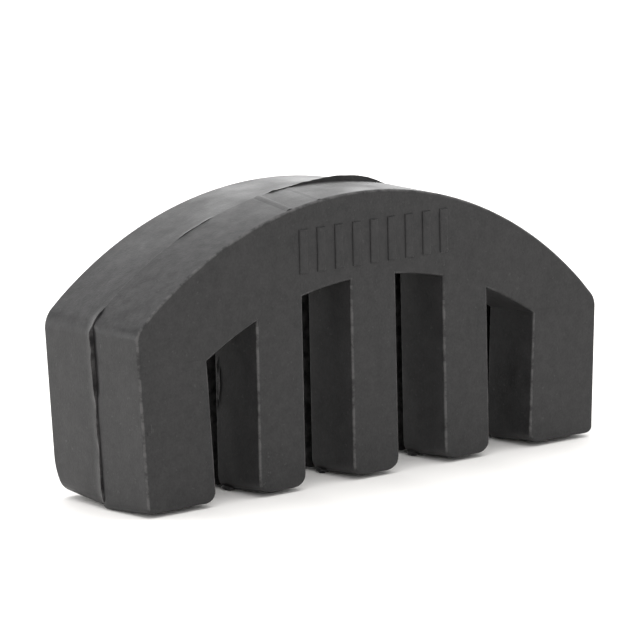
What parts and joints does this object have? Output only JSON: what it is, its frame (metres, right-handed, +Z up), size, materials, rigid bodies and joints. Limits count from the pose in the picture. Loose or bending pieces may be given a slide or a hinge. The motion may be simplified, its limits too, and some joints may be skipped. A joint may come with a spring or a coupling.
{
  "type": "instrument practice mute",
  "caption": "Arched rubber comb that slips over a string instrument's bridge, with string slots between its prongs and a lengthwise bridge slot.",
  "frame": {"origin": "under the middle of the block, at the height of the prong tips", "axes": "+X along the mute towards its lower end face, +Y through its thickness towards the rear face, +Z up towards the crown"},
  "size_m": [0.0764, 0.0186, 0.0368],
  "materials": {
    "rubber": "matt, lightly dusty moulded rubber"
  },
  "bodies": {
    "arch": {"front_half": "rubber", "rear_half": "rubber"},
    "front_finger_1": {"front_finger_1": "rubber"},
    "front_finger_2": {"front_finger_2": "rubber"},
    "front_finger_3": {"front_finger_3": "rubber"},
    "rear_finger_1": {"rear_finger_1": "rubber"},
    "rear_finger_2": {"rear_finger_2": "rubber"},
    "rear_finger_3": {"rear_finger_3": "rubber"}
  },
  "joints": [
    {"name": "front_finger_1_flex", "type": "hinge", "parent": "arch", "child": "front_finger_1", "pos_m": [-0.01535, -0.0093, 0.02159], "axis": [-1, 0, 0], "range_deg": [0, 4], "stiffness_Nm_per_rad": 0.2},
    {"name": "front_finger_2_flex", "type": "hinge", "parent": "arch", "child": "front_finger_2", "pos_m": [0, -0.0093, 0.02487], "axis": [-1, 0, 0], "range_deg": [0, 4], "stiffness_Nm_per_rad": 0.2},
    {"name": "front_finger_3_flex", "type": "hinge", "parent": "arch", "child": "front_finger_3", "pos_m": [0.01535, -0.0093, 0.0211], "axis": [-1, 0, 0], "range_deg": [0, 4], "stiffness_Nm_per_rad": 0.2},
    {"name": "rear_finger_1_flex", "type": "hinge", "parent": "arch", "child": "rear_finger_1", "pos_m": [-0.01535, 0.0093, 0.02159], "axis": [1, 0, 0], "range_deg": [0, 4], "stiffness_Nm_per_rad": 0.2},
    {"name": "rear_finger_2_flex", "type": "hinge", "parent": "arch", "child": "rear_finger_2", "pos_m": [0, 0.0093, 0.02487], "axis": [1, 0, 0], "range_deg": [0, 4], "stiffness_Nm_per_rad": 0.2},
    {"name": "rear_finger_3_flex", "type": "hinge", "parent": "arch", "child": "rear_finger_3", "pos_m": [0.01535, 0.0093, 0.0211], "axis": [1, 0, 0], "range_deg": [0, 4], "stiffness_Nm_per_rad": 0.2}
  ]
}
